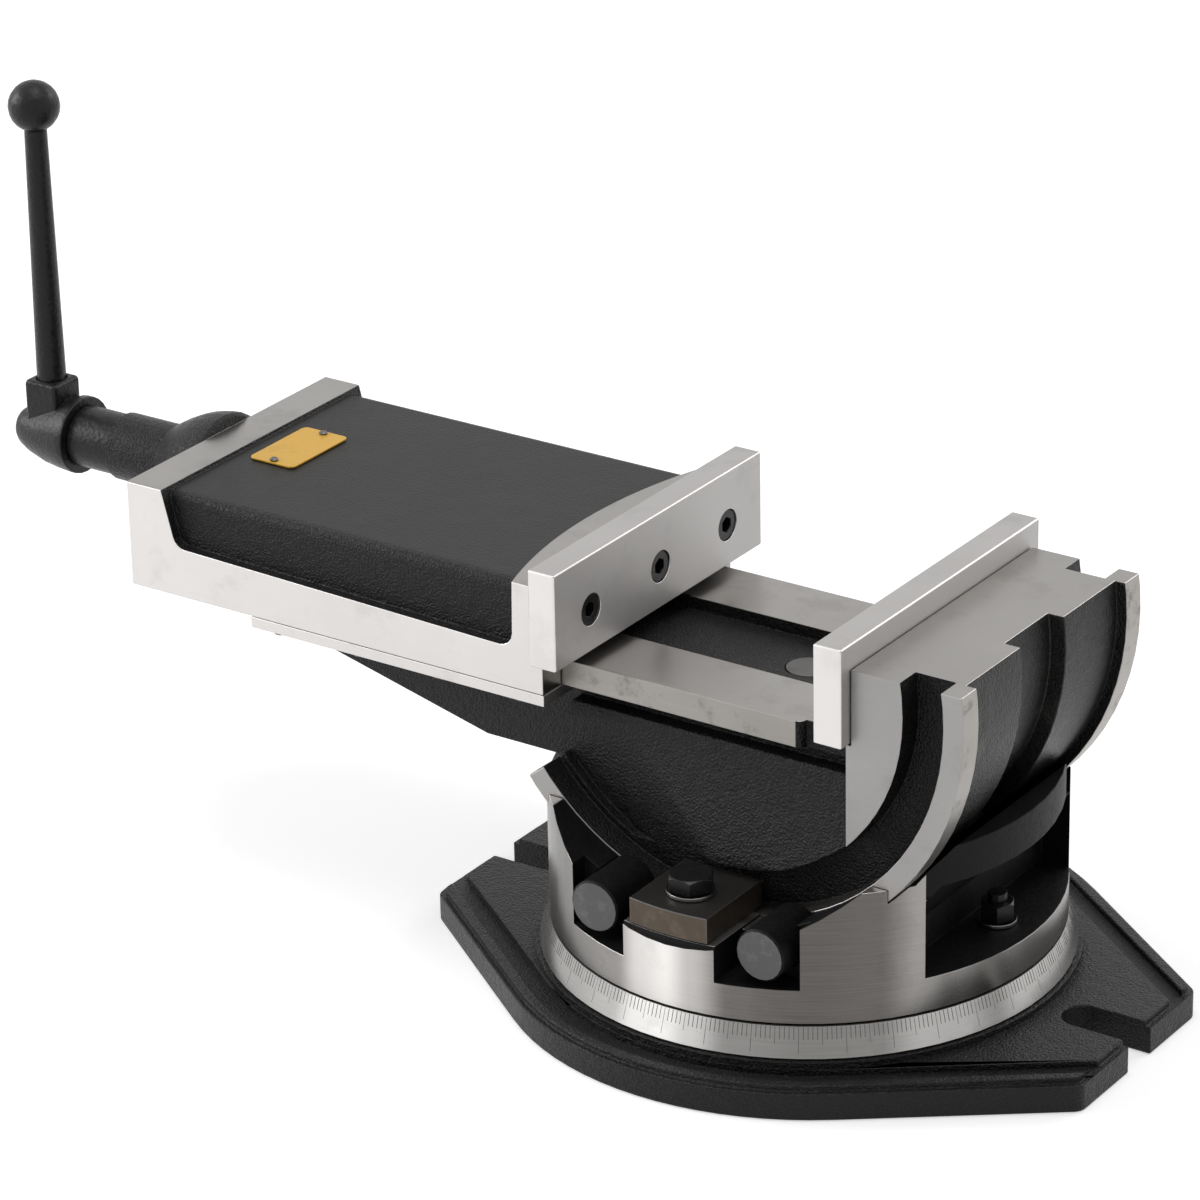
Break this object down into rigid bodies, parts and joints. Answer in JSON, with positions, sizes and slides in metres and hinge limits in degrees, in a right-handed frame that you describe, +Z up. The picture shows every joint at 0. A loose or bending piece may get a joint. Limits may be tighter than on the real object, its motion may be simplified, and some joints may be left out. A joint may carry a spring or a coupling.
{
  "type": "swivel tilting bench vise",
  "caption": "Bench vise whose drum-shaped bed tilts in a cradle, which swivels on a round eared base with a degree ring; a crank and screw slide the moving jaw.",
  "frame": {"origin": "centre of the base's underside, on the swivel axis", "axes": "+X from the crank towards the fixed jaw, along the jaw's slide; +Y across the jaws; +Z up, along the swivel axis"},
  "size_m": [0.5555, 0.254, 0.3122],
  "materials": {
    "black_casting": "textured black paint, machined faces bare",
    "machined_casting": "machined, oiled",
    "ground_steel": "ground",
    "clamp_steel": "oil darkened",
    "dark_steel": "black oxide",
    "pin_steel": "turned",
    "screw_steel": "turned",
    "black_handle": "satin black",
    "yellow_plate": "satin yellow",
    "brass": "machined"
  },
  "bodies": {
    "base": {"base_casting": "black_casting", "degree_ring": "screw_steel", "swivel_pivot": "pin_steel"},
    "swivel": {"swivel_body": "machined_casting", "guide_pin_near_left": "pin_steel", "guide_pin_near_right": "pin_steel", "guide_pin_far_left": "pin_steel", "guide_pin_far_right": "pin_steel", "clamp_plate_near": "clamp_steel", "clamp_washer_near": "dark_steel", "clamp_bolt_near": "dark_steel", "clamp_plate_far": "clamp_steel", "clamp_washer_far": "dark_steel", "clamp_bolt_far": "dark_steel", "lock_bolt_left": "dark_steel", "lock_washer_left": "dark_steel", "lock_nut_left": "dark_steel", "lock_bolt_right": "dark_steel", "lock_washer_right": "dark_steel", "lock_nut_right": "dark_steel"},
    "bed": {"vise_bed": "black_casting", "channel_plug": "screw_steel", "fixed_jaw_plate": "ground_steel", "screw_nut": "brass", "nut_screw_near": "dark_steel", "nut_screw_far": "dark_steel", "fixed_plate_screw_1": "dark_steel", "fixed_plate_screw_2": "dark_steel", "fixed_plate_screw_3": "dark_steel"},
    "jaw": {"moving_jaw": "black_casting", "moving_jaw_plate": "ground_steel", "keep_plate_near": "screw_steel", "keep_plate_far": "screw_steel", "name_plate": "yellow_plate", "rivet_near": "screw_steel", "rivet_far": "screw_steel", "moving_plate_screw_1": "dark_steel", "moving_plate_screw_2": "dark_steel", "moving_plate_screw_3": "dark_steel", "keep_screw_near_1": "dark_steel", "keep_screw_near_2": "dark_steel", "keep_screw_near_3": "dark_steel", "keep_screw_near_4": "dark_steel", "keep_screw_far_1": "dark_steel", "keep_screw_far_2": "dark_steel", "keep_screw_far_3": "dark_steel", "keep_screw_far_4": "dark_steel"},
    "crank": {"lead_screw": "screw_steel", "retaining_collar": "dark_steel", "thrust_collar": "black_handle", "crank_hub": "black_handle", "hub_pin": "dark_steel", "crank_lever": "black_handle", "lever_ball": "black_handle"}
  },
  "joints": [
    {"name": "swivel_turn", "type": "hinge", "parent": "base", "child": "swivel", "pos_m": [0, 0, 0.0298], "axis": [0, 0, 1], "continuous": true},
    {"name": "tilt", "type": "hinge", "parent": "swivel", "child": "bed", "pos_m": [0, 0, 0.16], "axis": [0, 1, 0], "range_deg": [0, 80]},
    {"name": "jaw_slide", "type": "slide", "parent": "bed", "child": "jaw", "axis": [1, 0, 0], "range_m": [-0.01, 0.118]},
    {"name": "crank_turn", "type": "hinge", "parent": "jaw", "child": "crank", "pos_m": [-0.3456, 0, 0.1545], "axis": [1, 0, 0], "range_deg": [-720, 8496]}
  ],
  "couplings": [
    {"joint": "jaw_slide", "follows": "crank_turn", "m_per_rad": 0.00079577}
  ]
}
